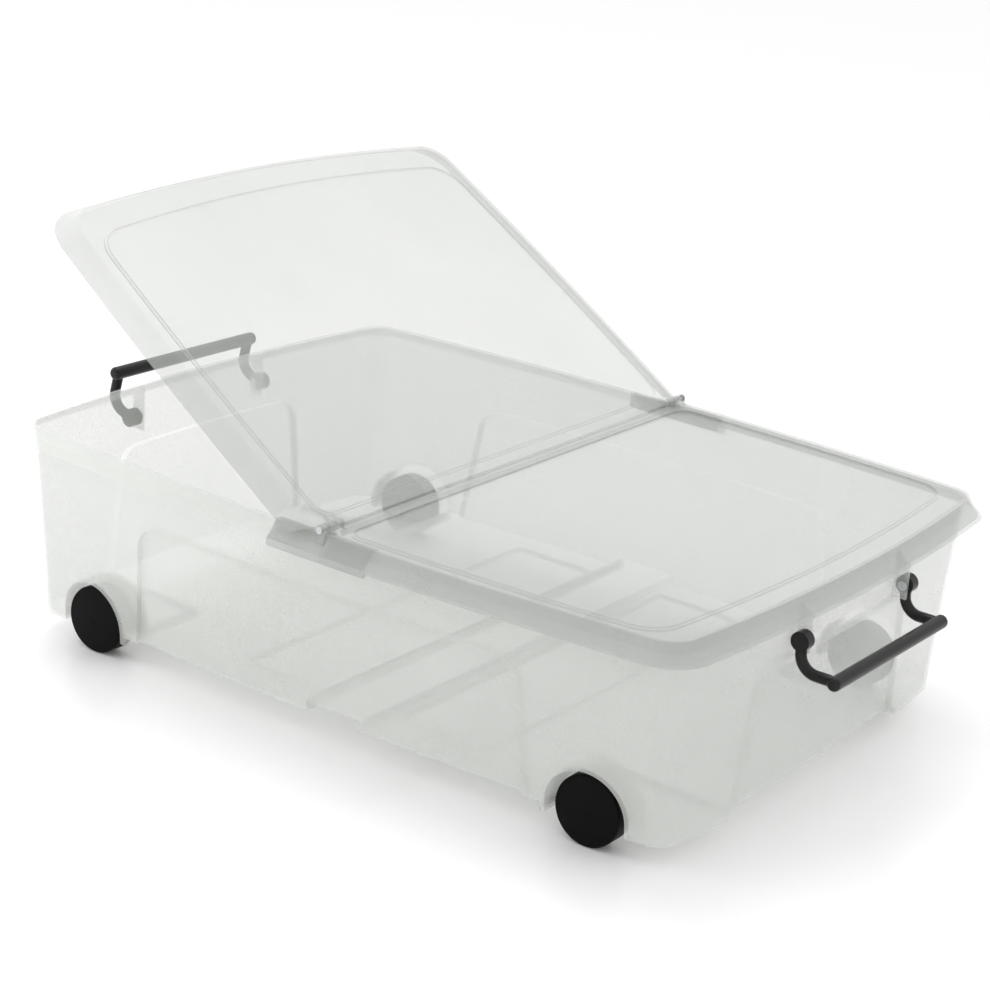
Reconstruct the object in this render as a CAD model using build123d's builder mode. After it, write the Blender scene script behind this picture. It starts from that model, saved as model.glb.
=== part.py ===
from build123d import *
import os
from math import cos, radians, sin

# Under-bed storage box: a moulded tub with a two-part folding lid, two bail handles and four wheels.
# Millimetres, +Z up, -Y the front long side. Modelled about the tub's middle; the last section moves
# everything so that the origin is on the floor under the middle of the whole, handles included.

# ---- Overall sizes -------------------------------------------------------------------------------
length = 800.0            # X, over the lid's skirt
width = 600.0             # Y, over the lid's skirt
height = 218.0            # floor to the top of the closed lid
side_bow = 18.0           # how far each long side swells past its corners
end_bow = 16.0            # and each end
corner_radius = 44.0      # plan corner at the skirt's lower edge

# ---- Tub -----------------------------------------------------------------------------------------
tub_wall = 2.2
rim_lift = 1.5            # rim's skirt ends this far above the closed lid's
wall_inset = 17.3         # wall's outer face, in from the skirt's lower edge, at the rim
wall_draft = 0.0235         # how much the wall leans in for each millimetre down
side_lean = 0.085          # how much more than that the long sides lean in
foot_z = 21.5             # underside of the corner feet
base_z = 30.0             # underside of the base between the feet
foot_x = 243.0            # where the feet begin along X
foot_y = 150.0            # and along Y
recess_depth = 6.0
recess_top = 155.0
recess_radius = 25.0
side_recess = 214.0       # half length of the long sides' recess at its top
end_recess = 128.0        # half length of the ends' recess at its top
recess_splay = 14.0       # how much wider each recess is at its bottom, per side
channel_width = 61.0      # the raised strip across the base, under the lid's hinge
channel_height = 10.0
pad_length = 92.0         # the two raised floor pads beside the strip
pad_width = 430.0
pad_height = 3.0
pad_gap = 14.0

# ---- Lid -----------------------------------------------------------------------------------------
lid_wall = 1.8
lid_gap = 0.4             # between the lid and the rim, all round
skirt_height = 18.5       # lid's top down to its skirt's lower edge
shoulder_drop = 9.0       # lid's top down to the shoulder's corner
shoulder_inset = 8.0
top_inset = 13.0          # where the flat top begins
panel_drop = 2.0          # the sunk panel in each half
panel_side = 30.0         # panel's edge, in from the side
panel_end = 42.0          # panel's edge, in from the free end
panel_hinge = 14.0        # panel's edge, back from the hinge edge
panel_radius = 34.0       # panel's corners at the free end
panel_near_radius = 15.0  # and at the hinge
hinge_x = 16.0            # hinge axis, along X
hinge_lift = 3.5          # hinge axis above the lid's top
hinge_gap = 0.7           # each half's edge stands back from the hinge plane
edge_rib = 7.0            # rib along each hinge edge, below the top's underside
lid_open = 32.8           # how far the left half stands open
skirt_end_gap = 8.0       # each skirt stops this far short of the hinge plane
skirt_slant = 12.0        # extra length cut off the left skirt's lower end

# ---- Hinge clips ---------------------------------------------------------------------------------
clip_wall = 1.0
clip_half = 54.0          # half length along the rim
clip_hook = 7.0           # how far the hook reaches below the rim's skirt
clip_lip = 3.5            # and how far it reaches in under it
clip_leg = 14.0           # inner leg, below the rim's top
leg_gap = 1.3             # between the leg and the bowed wall, at the middle of the wall
knuckle_radius = 4.6
knuckle_length = 9.0
knuckle_gap = 0.5         # between neighbouring knuckles, along the pin
knuckle_room = 1.2        # round each knuckle, in the other pieces
knuckle_inset = 10.0      # outermost knuckle's outer end, in from the skirt's lower edge
hinge_pin_radius = 2.0
hinge_pin_fit = 0.05      # radial running clearance
hinge_head_radius = 3.4
hinge_head = 1.6

# ---- Handles -------------------------------------------------------------------------------------
handle_y = 96.0           # middle of each eye
eye_radius = 9.0
eye_width = 10.6
arm_radius = 5.2
arm_drop = 28.0           # pivot down to the grip's axis
arm_reach = 37.0          # pivot out to the grip's axis
arm_bend = 17.0
grip_radius = 6.6
grip_overhang = 8.0       # grip past the middle of each arm
pivot_out = 11.0          # pivot out from the wall's face
pivot_z = 178.0
left_raise = 102.0        # how far the left handle is lifted from hanging
lug_wall = 3.0
lug_gap = 0.5
lug_below = 13.0
lug_out = 4.5
handle_pin_radius = 3.0
handle_pin_fit = 0.05
pin_head_radius = 4.6
pin_head = 1.8
pin_depth = 6.5           # how far the pin runs into the eye

# ---- Wheels --------------------------------------------------------------------------------------
wheel_radius = 33.0
wheel_width = 24.0
wheel_x = 286.5
wheel_set_back = 4.0      # wheel's face behind the wall's face
wheel_dome = 1.5
wheel_round = 2.5
arch_gap = 6.0            # between the tread and the wheel well
well_gap = 4.0            # between the wheel's inner side and the well's end
axle_radius = 3.0
axle_fit = 0.06
axle_depth = 15.0         # how far the axle runs into the wheel
boss_radius = 8.0
boss_length = 9.0         # boss behind the well's end, inside the tub
boss_gap = 0.6            # between the boss and the wheel

# ---- Derived -------------------------------------------------------------------------------------
rim_top = height - lid_wall - lid_gap
skirt_z = height - skirt_height
shoulder_z = height - shoulder_drop
hinge_z = height + hinge_lift
lid_levels = [(skirt_z, 0.0), (shoulder_z, shoulder_inset), (height, top_inset)]


def wall_at(z):
    """Inset of the tub wall's outer face at height z."""
    return wall_inset + (rim_top - z) * wall_draft


def lean_at(z):
    """Extra inset of the long walls' outer face at height z."""
    return (rim_top - z) * side_lean


def deeper(levels, amount):
    """The same edge profile, moved in and down by amount, as a shell's inner face is."""
    (z0, i0), (z1, i1), (z2, i2) = levels
    return [(z0, i0 + amount), (z1 - amount * 0.5, i1 + amount), (z2 - amount, i2 + amount)]


def outline(z, inset, lean=0.0):
    """Plan outline at height z, drawn in by inset, and the long sides by lean more."""
    half_x = length / 2 - inset
    half_y = width / 2 - inset - lean
    corner_x = half_x - end_bow
    corner_y = half_y - side_bow
    with BuildSketch(Plane.XY.offset(z)) as section:
        with BuildLine():
            ThreePointArc((-corner_x, -corner_y), (0, -half_y), (corner_x, -corner_y))
            ThreePointArc((corner_x, -corner_y), (half_x, 0), (corner_x, corner_y))
            ThreePointArc((corner_x, corner_y), (0, half_y), (-corner_x, corner_y))
            ThreePointArc((-corner_x, corner_y), (-half_x, 0), (-corner_x, -corner_y))
        make_face()
        fillet(section.vertices(), radius=corner_radius - inset)
    return section.sketch


def outline_loft(levels, mode=Mode.ADD):
    """Loft the plan outline through (height, inset) levels."""
    loft(sections=[outline(z, inset) for z, inset in levels], ruled=True, mode=mode)


def wall_loft(bottom, top, grow):
    """Loft the walls' outline from one height to another, grown inwards."""
    loft(sections=[outline(z, wall_at(z) + grow, lean_at(z)) for z in (bottom, top)], ruled=True)


def recess_profile(plane, half_top, grow):
    """Round-topped, splayed profile of a recess, standing in a vertical plane."""
    splay = recess_splay / recess_top
    with BuildSketch(plane) as profile:
        with BuildLine():
            Polyline(
                (-half_top - recess_splay - grow, 0),
                (half_top + recess_splay + grow, 0),
                (half_top + grow - grow * splay, recess_top + grow),
                (-half_top - grow + grow * splay, recess_top + grow),
                close=True,
            )
        make_face()
        fillet(profile.vertices().group_by(Axis.Z)[-1], radius=recess_radius + grow)
    return profile.sketch


wheel_wall_y = width / 2 - wall_at(wheel_radius) - lean_at(wheel_radius)
wheel_face_y = wheel_wall_y - side_bow * (2 * wheel_x / length) ** 2 - wheel_set_back
well_y = wheel_face_y - wheel_width - well_gap
well_radius = wheel_radius + arch_gap


def tub_form(wall):
    """The tub's outer form; with a wall given, the hollow that leaves that wall everywhere."""
    top = rim_top + (1.0 if wall else 0.0)
    base = foot_z + wall
    core_top = recess_top + wall + 10
    core = recess_depth + wall
    with BuildPart() as form:
        wall_loft(base, top, wall)
        # The recesses cut right through, and a slimmer core fills them up to their backs
        for plane, half_top in ((Plane.XZ, side_recess), (Plane.YZ, end_recess)):
            extrude(recess_profile(plane, half_top, wall), amount=length, both=True, mode=Mode.SUBTRACT)
        wall_loft(base, core_top, core)
        with BuildSketch():
            Rectangle(2 * (foot_x + wall), width)
            Rectangle(length, 2 * (foot_y + wall))
        extrude(amount=base_z + wall, mode=Mode.SUBTRACT)
        with BuildSketch():
            with Locations((hinge_x, 0)):
                Rectangle(channel_width + 2 * wall, width)
        extrude(amount=base_z + channel_height + wall, mode=Mode.SUBTRACT)
        with BuildSketch():
            with Locations((hinge_x, 0)):
                with GridLocations(channel_width + 2 * pad_gap + pad_length, 0, 2, 1):
                    RectangleRounded(pad_length + 2 * wall, pad_width + 2 * wall, 6 + wall)
        extrude(amount=base_z + pad_height + wall, mode=Mode.SUBTRACT)
        for side in (-1, 1):
            with BuildSketch(Plane.XZ.offset(side * (well_y - wall))):
                with Locations((-wheel_x, wheel_radius), (wheel_x, wheel_radius)):
                    Circle(well_radius + wall)
                with Locations((-wheel_x, 0), (wheel_x, 0)):
                    Rectangle(2 * (well_radius + wall), 2 * wheel_radius)
            extrude(amount=side * width / 2, mode=Mode.SUBTRACT)
            if wall:
                with BuildSketch(Plane.XZ.offset(side * (well_y - tub_wall - boss_length))):
                    with Locations((-wheel_x, wheel_radius), (wheel_x, wheel_radius)):
                        Circle(boss_radius)
                extrude(amount=side * 2 * boss_length, mode=Mode.SUBTRACT)
    return form.part


pivot_x = length / 2 - wall_at(pivot_z) - end_bow * (2 * handle_y / width) ** 2 + pivot_out
lug_y = handle_y - eye_width / 2 - lug_gap - lug_wall / 2
lug_end = length / 2 - end_bow * (2 * handle_y / width) ** 2
rim_levels = deeper(lid_levels, lid_wall + lid_gap)
skirt_lean = shoulder_inset / (shoulder_z - skirt_z)
rim_levels[0] = (skirt_z + rim_lift, rim_levels[0][1] + rim_lift * skirt_lean)
seat_levels = deeper(rim_levels, clip_wall)
hook_z = rim_levels[0][0] - clip_hook
hook_inset = rim_levels[0][1]
leg_z = rim_top - clip_leg
leg_y = width / 2 - wall_at(leg_z) - lean_at(leg_z) - tub_wall - leg_gap
knuckle_y = width / 2 - knuckle_inset
knuckle_step = knuckle_length + knuckle_gap

# ---- Tub -----------------------------------------------------------------------------------------
# Rim with its flared skirt, then the walls, feet and wheel wells, then the hollow.
with BuildPart() as seats:
    outline_loft(rim_levels)
    outline_loft(seat_levels, Mode.SUBTRACT)
    with BuildSketch(Plane.XY.offset(skirt_z)):
        with Locations((hinge_x, 0)):
            Rectangle(2 * clip_half, 2 * width)
    extrude(amount=height, mode=Mode.INTERSECT)
tub_outside = tub_form(0)
tub_hollow = tub_form(tub_wall)
with BuildPart() as tub:
    outline_loft(rim_levels)
    outline_loft(deeper(rim_levels, tub_wall), Mode.SUBTRACT)
    add(tub_outside)
    # Lug plates for the handles, two at each end, closed by the rim above
    for end in (-1, 1):
        for side in (-1, 1):
            with BuildSketch(Plane.XZ.offset(side * (lug_y - lug_wall / 2))):
                with BuildLine():
                    Polyline(
                        (end * (pivot_x - 30), pivot_z - lug_below),
                        (end * (pivot_x + lug_out), pivot_z - lug_below),
                        (end * (pivot_x + lug_out), rim_levels[0][0] - 3),
                        (end * (lug_end - rim_levels[0][1] - 1.5), rim_levels[0][0] + 0.3),
                        (end * (lug_end - rim_levels[1][1] - 1), rim_levels[1][0] - 1),
                        (end * (lug_end - rim_levels[2][1] - 1), rim_top - 1),
                        (end * (pivot_x - 30), rim_top - 1),
                        close=True,
                    )
                make_face()
            extrude(amount=side * lug_wall)
    add(tub_hollow, mode=Mode.SUBTRACT)
    # Boss on each well's end, facing the wheel
    for side in (-1, 1):
        with BuildSketch(Plane.XZ.offset(side * (well_y - tub_wall / 2))):
            with Locations((-wheel_x, wheel_radius), (wheel_x, wheel_radius)):
                Circle(boss_radius)
        extrude(amount=side * (well_gap - boss_gap + tub_wall / 2))
    # Axle holes, blind from the wheel's side
    for side in (-1, 1):
        with BuildSketch(Plane.XZ.offset(side * (well_y - boss_length))):
            with Locations((-wheel_x, wheel_radius), (wheel_x, wheel_radius)):
                Circle(axle_radius)
        extrude(amount=side * 2 * boss_length, mode=Mode.SUBTRACT)
    # Shallow seats for the hinge clips, round the rim
    add(seats.part, mode=Mode.SUBTRACT)
    # Handle pin holes through the lugs
    for side in (-1, 1):
        with BuildSketch(Plane.XZ.offset(side * (lug_y - lug_wall))):
            with Locations((-pivot_x, pivot_z), (pivot_x, pivot_z)):
                Circle(handle_pin_radius)
        extrude(amount=side * 2 * lug_wall, mode=Mode.SUBTRACT)
tub.part.label = "tub"


# ---- Hinge clips ---------------------------------------------------------------------------------
# Each saddles the rim: a skin over the flange, a leg inside the wall, a hook under the skirt, and a
# post with the outermost knuckle.
def hinge_clip(side):
    """The clip at the front (side 1) or the rear (side -1)."""
    with BuildPart() as clip:
        outline_loft(rim_levels)
        extrude(outline(hook_z, hook_inset), amount=clip_hook)
        with BuildSketch(Plane.XY.offset(hook_z)):
            with Locations((hinge_x, -side * (leg_y - clip_wall + width) / 2)):
                Rectangle(2 * clip_half, width - leg_y + clip_wall)
        extrude(amount=height, mode=Mode.INTERSECT)
        with BuildSketch(Plane.XZ.offset(side * (knuckle_y - knuckle_length))):
            with Locations((hinge_x, hinge_z)):
                Circle(knuckle_radius)
            with Locations((hinge_x, (hinge_z + shoulder_z) / 2)):
                Rectangle(2 * knuckle_radius, hinge_z - shoulder_z)
        extrude(amount=side * knuckle_length)
        outline_loft(seat_levels, Mode.SUBTRACT)
        leg_top = rim_top - clip_wall / 2
        with BuildSketch(Plane.XZ.offset(side * (leg_y - clip_wall))):
            with Locations((hinge_x, leg_top - clip_leg / 2)):
                RectangleRounded(2 * clip_half, clip_leg, 0.4)
        extrude(amount=side * clip_wall)
        extrude(outline(hook_z, hook_inset + clip_lip), amount=clip_hook, mode=Mode.SUBTRACT)
        neck = outline(hook_z + clip_hook - 0.3, hook_inset + clip_wall)
        extrude(neck, amount=0.3, mode=Mode.SUBTRACT)
        with BuildSketch(Plane.XZ.offset(side * (knuckle_y - 2 * knuckle_length))):
            with Locations((hinge_x, hinge_z)):
                Circle(hinge_pin_radius)
        extrude(amount=side * 3 * knuckle_length, mode=Mode.SUBTRACT)
    return clip.part


# ---- Lid -----------------------------------------------------------------------------------------
def panel_outline(end, z, grow):
    """The sunk panel of one half: straight at the hinge, swelling with the lid elsewhere."""
    near_x = hinge_x + end * (panel_hinge - grow)
    far_x = end * (length / 2 - panel_end + grow)
    corner_x = far_x - end * end_bow
    mid_x = (near_x + corner_x) / 2
    side_y = width / 2 - panel_side + grow
    near_y = side_y - side_bow * (2 * near_x / length) ** 2
    mid_y = side_y - side_bow * (2 * mid_x / length) ** 2
    corner_y = side_y - side_bow * (2 * corner_x / length) ** 2
    with BuildSketch(Plane.XY.offset(z)) as panel:
        with BuildLine():
            ThreePointArc((near_x, -near_y), (mid_x, -mid_y), (corner_x, -corner_y))
            ThreePointArc((corner_x, -corner_y), (far_x, 0), (corner_x, corner_y))
            ThreePointArc((corner_x, corner_y), (mid_x, mid_y), (near_x, near_y))
            Line((near_x, near_y), (near_x, -near_y))
        make_face()
        near, far = (0, -1) if end > 0 else (-1, 0)
        fillet(panel.vertices().group_by(Axis.X)[near], radius=panel_near_radius)
        fillet(panel.vertices().group_by(Axis.X)[far], radius=panel_radius)
    return panel.sketch


def lid_half(end):
    """One half of the lid, closed: the left half (end -1) or the right half (end 1)."""
    underside = height - lid_wall
    own_step = 1 if end > 0 else 2
    slant = skirt_slant if end < 0 else 0.0
    with BuildPart() as half:
        outline_loft(lid_levels)
        outline_loft(deeper(lid_levels, lid_wall), Mode.SUBTRACT)
        extrude(panel_outline(end, underside - panel_drop, lid_wall), amount=panel_drop + lid_wall / 2)
        extrude(panel_outline(end, height - panel_drop, 0), amount=2 * panel_drop, mode=Mode.SUBTRACT)
        # Everything across the hinge plane goes
        with BuildSketch():
            with Locations((hinge_x + end * hinge_gap - end * length, 0)):
                Rectangle(2 * length, 2 * width)
        extrude(amount=2 * height, mode=Mode.SUBTRACT)
        # The skirt stops short of the hinge
        with BuildSketch(Plane.XZ):
            with BuildLine():
                Polyline(
                    (hinge_x, underside),
                    (hinge_x + end * skirt_end_gap, underside),
                    (hinge_x + end * (skirt_end_gap + slant), skirt_z - 1),
                    (hinge_x, skirt_z - 1),
                    close=True,
                )
            make_face()
        extrude(amount=width, both=True, mode=Mode.SUBTRACT)
        # Rib along the hinge edge
        with BuildSketch(Plane.XY.offset(underside - edge_rib)):
            with Locations((hinge_x + end * (hinge_gap + lid_wall / 2), 0)):
                Rectangle(lid_wall, 2 * (leg_y - clip_wall - 1.0))
        extrude(amount=edge_rib + lid_wall / 2)
        for side in (-1, 1):
            # Room for the clip's post, and for the other half's knuckle
            own_outer = knuckle_y - own_step * knuckle_step
            other_outer = knuckle_y - (3 - own_step) * knuckle_step
            room_x = 2 * (knuckle_radius + knuckle_room)
            with BuildSketch(Plane.XY.offset(skirt_z)):
                with Locations((hinge_x, side * (knuckle_y - knuckle_length - knuckle_gap + width / 2))):
                    Rectangle(room_x, width)
                with Locations((hinge_x, side * (other_outer - knuckle_length / 2))):
                    Rectangle(room_x, knuckle_length + 2 * knuckle_gap)
            extrude(amount=height, mode=Mode.SUBTRACT)
            with BuildSketch(Plane.XZ.offset(side * (own_outer - knuckle_length))):
                with Locations((hinge_x, hinge_z)):
                    Circle(knuckle_radius)
                with BuildLine():
                    Polyline(
                        (hinge_x, hinge_z + knuckle_radius),
                        (hinge_x + end * (3 * knuckle_radius), height),
                        (hinge_x + end * (3 * knuckle_radius), underside),
                        (hinge_x + end * hinge_gap, underside),
                        (hinge_x, hinge_z - knuckle_radius),
                        close=True,
                    )
                make_face()
            extrude(amount=side * knuckle_length)
            with BuildSketch(Plane.XZ.offset(side * (own_outer - 1.5 * knuckle_length))):
                with Locations((hinge_x, hinge_z)):
                    Circle(hinge_pin_radius + hinge_pin_fit)
            extrude(amount=side * 2 * knuckle_length, mode=Mode.SUBTRACT)
    return half.part


# ---- Handles -------------------------------------------------------------------------------------
def bail(end):
    """One handle, hanging: the left (end -1) or the right (end 1)."""
    with BuildPart() as handle:
        grip_x = end * (pivot_x + arm_reach)
        for side in (-1, 1):
            with BuildLine() as arm:
                FilletPolyline(
                    (end * pivot_x, side * handle_y, pivot_z),
                    (end * pivot_x, side * handle_y, pivot_z - arm_drop),
                    (grip_x, side * handle_y, pivot_z - arm_drop),
                    radius=arm_bend,
                )
            with BuildSketch(Plane(origin=arm.line @ 0, z_dir=arm.line % 0)):
                Circle(arm_radius)
            sweep()
            with BuildSketch(Plane.XZ.offset(side * (handle_y - eye_width / 2))):
                with Locations((end * pivot_x, pivot_z)):
                    Circle(eye_radius)
            extrude(amount=side * eye_width)
        with BuildSketch(Plane.XZ.offset(-handle_y - grip_overhang)):
            with Locations((grip_x, pivot_z - arm_drop)):
                Circle(grip_radius)
        extrude(amount=2 * (handle_y + grip_overhang))
        fillet(handle.edges().filter_by(GeomType.CIRCLE).group_by(Axis.Y)[-1], radius=grip_radius * 0.6)
        fillet(handle.edges().filter_by(GeomType.CIRCLE).group_by(Axis.Y)[0], radius=grip_radius * 0.6)
        for side in (-1, 1):
            with BuildSketch(Plane.XZ.offset(side * (handle_y - eye_width))):
                with Locations((end * pivot_x, pivot_z)):
                    Circle(handle_pin_radius + handle_pin_fit)
            extrude(amount=side * (eye_width / 2 + pin_depth + 0.5), mode=Mode.SUBTRACT)
    return handle.part


def handle_pin(end, side):
    """Headed pin: head on the lug's inner face, shank through the lug and into the eye."""
    inner_y = lug_y - lug_wall / 2
    with BuildPart() as pin:
        with BuildSketch(Plane.XZ.offset(side * (inner_y - pin_head))):
            with Locations((end * pivot_x, pivot_z)):
                Circle(pin_head_radius)
        extrude(amount=side * pin_head)
        fillet(pin.edges().group_by(Axis.Y)[-1 if side > 0 else 0], radius=0.6)
        with BuildSketch(Plane.XZ.offset(side * inner_y)):
            with Locations((end * pivot_x, pivot_z)):
                Circle(handle_pin_radius)
        extrude(amount=side * (lug_wall + lug_gap + pin_depth))
    return pin.part


# ---- Wheels --------------------------------------------------------------------------------------
def wheel(x, side):
    """Wheel with a smooth domed outer face, hollow behind, with a blind hub bore."""
    centre = Plane(origin=(x, 0, wheel_radius), x_dir=(1, 0, 0), z_dir=(0, 0, 1))
    face = -side * wheel_face_y
    back = -side * (wheel_face_y - wheel_width)
    with BuildPart() as disc:
        with BuildSketch(centre):
            with BuildLine():
                ThreePointArc(
                    (-wheel_radius, face + side * wheel_dome),
                    (0, face),
                    (wheel_radius, face + side * wheel_dome),
                )
                Polyline(
                    (wheel_radius, face + side * wheel_dome),
                    (wheel_radius, back),
                    (-wheel_radius, back),
                    (-wheel_radius, face + side * wheel_dome),
                )
            make_face()
            split(bisect_by=Plane.YZ, keep=Keep.TOP)
        revolve(axis=Axis((x, 0, wheel_radius), (0, 1, 0)))
        fillet(disc.edges().filter_by(GeomType.CIRCLE), radius=wheel_round)
        with BuildSketch(Plane.XZ.offset(side * (wheel_face_y - wheel_width))):
            with Locations((x, wheel_radius)):
                Circle(wheel_radius - 4.0)
                Circle(boss_radius, mode=Mode.SUBTRACT)
        extrude(amount=side * (wheel_width - 6.0), mode=Mode.SUBTRACT)
        with BuildSketch(Plane.XZ.offset(side * (wheel_face_y - wheel_width))):
            with Locations((x, wheel_radius)):
                Circle(axle_radius + axle_fit)
        extrude(amount=side * (axle_depth + 0.5), mode=Mode.SUBTRACT)
    return disc.part


def axle(x, side):
    """Steel axle pin, fast in the tub's boss and running in the wheel's hub."""
    with BuildPart() as pin:
        with BuildSketch(Plane.XZ.offset(side * (well_y - boss_length))):
            with Locations((x, wheel_radius)):
                Circle(axle_radius)
        extrude(amount=side * (boss_length + well_gap + axle_depth))
    return pin.part


def hinge_pin(side):
    """Headed hinge pin through a clip's knuckle and the knuckles of both lid halves."""
    with BuildPart() as pin:
        with BuildSketch(Plane.XZ.offset(side * knuckle_y)):
            with Locations((hinge_x, hinge_z)):
                Circle(hinge_head_radius)
        extrude(amount=side * hinge_head)
        with BuildSketch(Plane.XZ.offset(side * (knuckle_y - 3 * knuckle_step))):
            with Locations((hinge_x, hinge_z)):
                Circle(hinge_pin_radius)
        extrude(amount=side * 3 * knuckle_step)
    return pin.part


# ---- The pieces, in place ------------------------------------------------------------------------
# The origin goes under the middle of everything as it stands, from one handle's grip to the other's.
raised = radians(left_raise)
left_reach = arm_reach * cos(raised) + arm_drop * sin(raised)
middle_x = (arm_reach - left_reach) / 2
hinge_axis = Axis((hinge_x, 0, hinge_z), (0, 1, 0))
left_pivot = Axis((-pivot_x, 0, pivot_z), (0, 1, 0))
pieces = {
    "tub": tub.part,
    "lid_left": lid_half(-1).rotate(hinge_axis, lid_open),
    "lid_right": lid_half(1),
    "hinge_clip_front": hinge_clip(1),
    "hinge_clip_rear": hinge_clip(-1),
    "hinge_pin_front": hinge_pin(1),
    "hinge_pin_rear": hinge_pin(-1),
    "handle_left": bail(-1).rotate(left_pivot, left_raise),
    "handle_right": bail(1),
}
for end, end_name in ((-1, "left"), (1, "right")):
    for side, side_name in ((1, "front"), (-1, "rear")):
        pieces[f"handle_pin_{side_name}_{end_name}"] = handle_pin(end, side)
        pieces[f"wheel_{side_name}_{end_name}"] = wheel(end * wheel_x, side)
        pieces[f"axle_{side_name}_{end_name}"] = axle(end * wheel_x, side)

os.makedirs("parts", exist_ok=True)
for name, piece in pieces.items():
    piece = piece.moved(Location((-middle_x, 0, 0)))
    piece.label = name
    export_step(piece, f"parts/{name}.step")
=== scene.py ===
import bpy
import bmesh
from math import radians, sin, cos
from mathutils import Matrix, Vector

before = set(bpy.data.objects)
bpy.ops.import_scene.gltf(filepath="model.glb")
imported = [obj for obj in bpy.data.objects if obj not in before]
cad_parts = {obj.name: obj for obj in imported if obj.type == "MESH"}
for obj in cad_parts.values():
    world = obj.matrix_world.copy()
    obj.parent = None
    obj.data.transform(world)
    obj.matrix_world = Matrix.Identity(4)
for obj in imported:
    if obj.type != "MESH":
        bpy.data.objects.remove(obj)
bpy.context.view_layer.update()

# The tub is one thin moulding of milky polypropylene: bowed walls with sunk panels, a flared rim,
# hollow corner feet with a well for each wheel, and a raised strip across its floor.
# It is the moulding that everything else clips or pins to.


class Value:
    """A shader socket that can be written into expressions."""

    def __init__(self, tree, socket):
        self.tree = tree
        self.socket = socket

    def __add__(self, other):
        return maths(self.tree, "ADD", self, other)

    __radd__ = __add__

    def __mul__(self, other):
        return maths(self.tree, "MULTIPLY", self, other)

    __rmul__ = __mul__


def maths(tree, operation, first, second):
    node = tree.nodes.new("ShaderNodeMath")
    node.operation = operation
    for slot, given in zip(node.inputs, (first, second)):
        if isinstance(given, Value):
            tree.links.new(given.socket, slot)
        else:
            slot.default_value = given
    return Value(tree, node.outputs[0])


class Finish:
    """A material being built: node() adds any node, with its settings and its sockets' values."""

    def __init__(self, name):
        self.material = bpy.data.materials.new(name)
        self.material.use_nodes = True
        self.tree = self.material.node_tree
        self.tree.nodes.clear()

    def node(self, kind, settings=None, output=0, **sockets):
        node = self.tree.nodes.new("ShaderNode" + kind)
        for key, given in (settings or {}).items():
            if key == "stops":
                ramp = node.color_ramp
                while len(ramp.elements) < len(given):
                    ramp.elements.new(0.5)
                for stop, (place, colour) in zip(ramp.elements, given):
                    stop.position = place
                    stop.color = (*colour, 1) if isinstance(colour, tuple) else (colour, colour, colour, 1)
            else:
                setattr(node, key, given)
        for key, given in sockets.items():
            key = key.replace("_", " ")
            slot = node.inputs[int(key[1:])] if key[1:].isdigit() else node.inputs[key]
            if isinstance(given, Value):
                self.tree.links.new(given.socket, slot)
            else:
                slot.default_value = given
        return Value(self.tree, node.outputs[output])

    def done(self, shader):
        out = self.tree.nodes.new("ShaderNodeOutputMaterial")
        self.tree.links.new(shader.socket, out.inputs["Surface"])
        return self.material


def milky(name, tint, cover, rough):
    """Milky polypropylene: each face covers part of what is behind it and scatters the rest."""
    f = Finish(name)
    place = f.node("TexCoord", output=3)
    flow = f.node("TexNoise", Vector=place, Scale=7.0, Detail=3.0, Roughness=0.5)
    grain = f.node("TexNoise", Vector=place, Scale=900.0, Detail=2.0, Roughness=0.6)
    colour = f.node("ValToRGB", {"stops": [(0.3, tuple(c * 0.97 for c in tint)), (0.7, tint)]}, Fac=flow)
    bump = f.node("Bump", Strength=0.04, Distance=0.0003, Height=grain)
    body = f.node(
        "BsdfPrincipled",
        Base_Color=colour,
        Roughness=grain * 0.08 + flow * 0.06 + (rough - 0.07),
        IOR=1.49,
        Alpha=flow * 0.10 + grain * 0.04 + (cover - 0.07),
        Specular_IOR_Level=0.5,
        Normal=bump,
    )
    return f.done(body)


def finish_with(name, material):
    """Gives a carried-over piece its finish."""
    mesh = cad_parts[name].data
    mesh.materials.clear()
    mesh.materials.append(material)


finish_with("tub", milky("frosted_tub_plastic", (0.80, 0.815, 0.785), cover=0.31, rough=0.28))

# The lid is two halves on one hinge line, with a clip over the rim at each end of it.
# Their plastic is the tub's, with painted shade making it a little darker, and a little denser, because
# each is seen as one sheet.
lid_painted_shade = milky("frosted_lid_plastic", (0.50, 0.518, 0.492), cover=0.34, rough=0.20)
for name in ("lid_left", "lid_right", "hinge_clip_front", "hinge_clip_rear"):
    finish_with(name, lid_painted_shade)

# The two bail handles are black mouldings with a satin, finely grained skin.
# Both are the CAD pieces with this finish.


def black_plastic(name, shade, rough, shine):
    """Black moulded plastic with a fine spark-eroded grain."""
    f = Finish(name)
    place = f.node("TexCoord", output=3)
    grain = f.node("TexNoise", Vector=place, Scale=700.0, Detail=3.0, Roughness=0.6)
    colour = f.node("ValToRGB", {"stops": [(0.35, shade * 0.8), (0.65, shade * 1.2)]}, Fac=grain)
    bump = f.node("Bump", Strength=0.12, Distance=0.0003, Height=grain)
    rough_here = grain * 0.2 + (rough - 0.1)
    body = f.node(
        "BsdfPrincipled",
        Base_Color=colour,
        Roughness=rough_here,
        Normal=bump,
        Specular_IOR_Level=shine,
    )
    return f.done(body)


black_handle = black_plastic("black_handle_plastic", 0.006, rough=0.32, shine=0.30)
finish_with("handle_left", black_handle)
finish_with("handle_right", black_handle)

# The four wheels are plain black discs with a duller face, sunk in the wells of the corner feet.
# They are darker than the handles and reflect next to nothing.
black_wheel = black_plastic("black_wheel_plastic", 0.002, rough=0.5, shine=0.08)
for side in ("front", "rear"):
    for end in ("left", "right"):
        finish_with(f"wheel_{side}_{end}", black_wheel)

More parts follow.
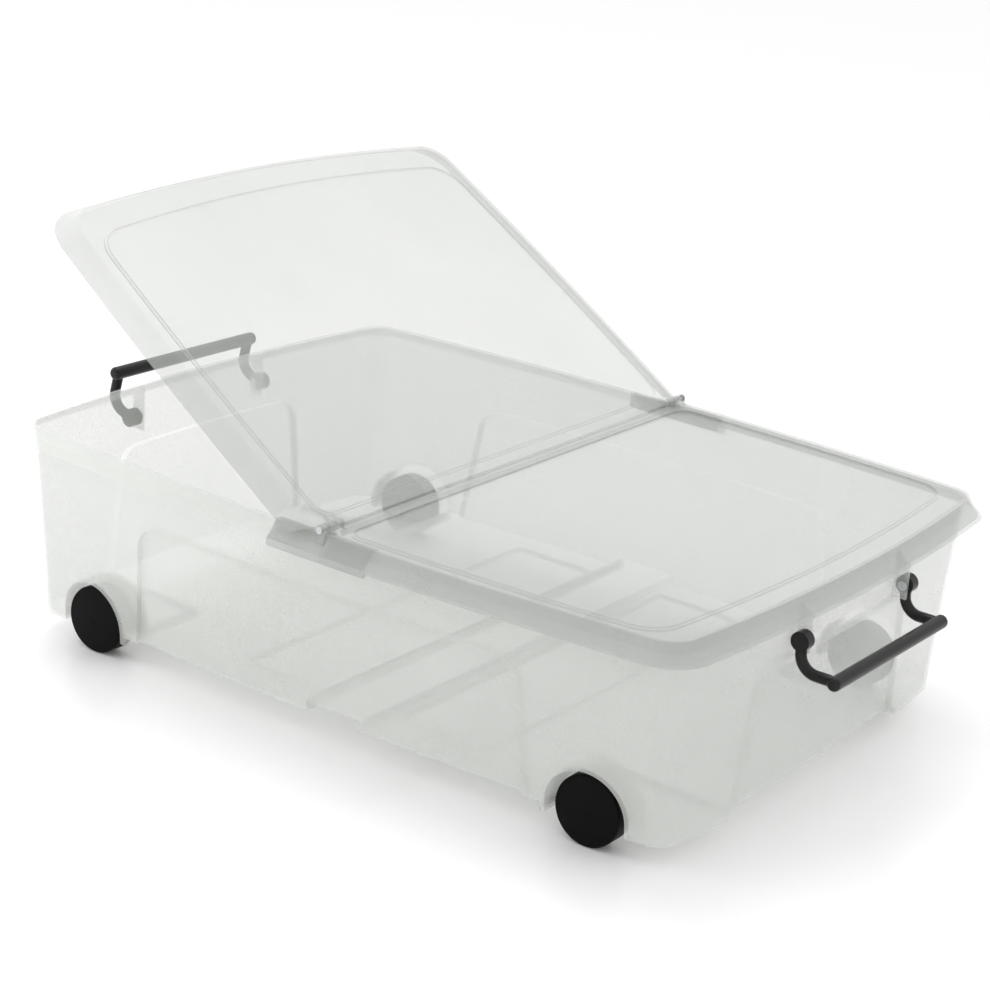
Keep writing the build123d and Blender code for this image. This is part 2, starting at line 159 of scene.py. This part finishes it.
# Pins and axles are bright drawn steel: the hinge pins, the handles' pins and the wheels' axles.
# Most of each one is hidden inside the pieces that it joins.


def steel(name):
    """Bright drawn steel wire with fine lines along it."""
    f = Finish(name)
    place = f.node("TexCoord", output=3)
    lines = f.node("TexNoise", Vector=f.node("Mapping", Vector=place, Scale=(900, 40, 900)), Scale=1.0)
    bright = (0.55, 0.56, 0.58, 1)
    body = f.node("BsdfPrincipled", Base_Color=bright, Metallic=1.0, Roughness=lines * 0.25 + 0.2)
    return f.done(body)


pin_steel = steel("drawn_steel")
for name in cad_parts:
    if "pin" in name or name.startswith("axle_"):
        finish_with(name, pin_steel)

# The room is a plain pale floor, an even white surround and two large soft lamps.
# The surround gives most of the light; the lamps give the plastic its soft highlights.
floor_half = 30
floor = bpy.data.objects.new("floor", bpy.data.meshes.new("floor"))
bpy.context.scene.collection.objects.link(floor)
bm = bmesh.new()
bmesh.ops.create_grid(bm, x_segments=1, y_segments=1, size=floor_half)
bm.to_mesh(floor.data)
bm.free()
f = Finish("pale_floor")
pale = (0.95, 0.95, 0.95, 1)
floor.data.materials.append(f.done(f.node("BsdfPrincipled", Base_Color=pale, Roughness=0.25)))

world = bpy.data.worlds.new("studio")
bpy.context.scene.world = world
world.use_nodes = True
world.node_tree.nodes["Background"].inputs[0].default_value = (1, 1, 1, 1)
world.node_tree.nodes["Background"].inputs[1].default_value = 1.0
bpy.context.scene.view_settings.view_transform = "Standard"


def lamp(name, place, aim, size, power):
    light = bpy.data.lights.new(name, "AREA")
    light.size = size
    light.energy = power
    holder = bpy.data.objects.new(name, light)
    bpy.context.scene.collection.objects.link(holder)
    holder.location = place
    holder.rotation_euler = (Vector(aim) - Vector(place)).to_track_quat("-Z", "Y").to_euler()


lamp("overhead", (-0.6, 0.3, 2.6), (0, 0, 0.1), 1.6, 25)
lamp("left", (-2.2, -1.4, 1.4), (0, 0, 0.15), 1.0, 8)


def look(azimuth, elevation, roll, distance, target, lens, shift):
    """A camera on its sight line, rolled, with its lens shifted."""
    az = radians(azimuth)
    el = radians(elevation)
    turn = radians(roll)
    back = Vector((sin(az) * cos(el), -cos(az) * cos(el), sin(el)))
    right = Vector((cos(az), sin(az), 0))
    up = back.cross(right)
    across = right * cos(turn) + up * sin(turn)
    upward = up * cos(turn) - right * sin(turn)
    data = bpy.data.cameras.new("camera")
    camera = bpy.data.objects.new("camera", data)
    bpy.context.scene.collection.objects.link(camera)
    pose = Matrix((across, upward, back)).transposed().to_4x4()
    pose.translation = Vector(target) + back * distance
    camera.matrix_world = pose
    data.sensor_width = 36
    data.lens = lens
    data.shift_x, data.shift_y = shift
    data.clip_start = 0.01
    bpy.context.scene.camera = camera


look(31.4, 19.5, 5.9, 2.6466, target=(0.0017, 0.2473, 0.110), lens=92.03273, shift=(-0.1509091, 0.0114141))
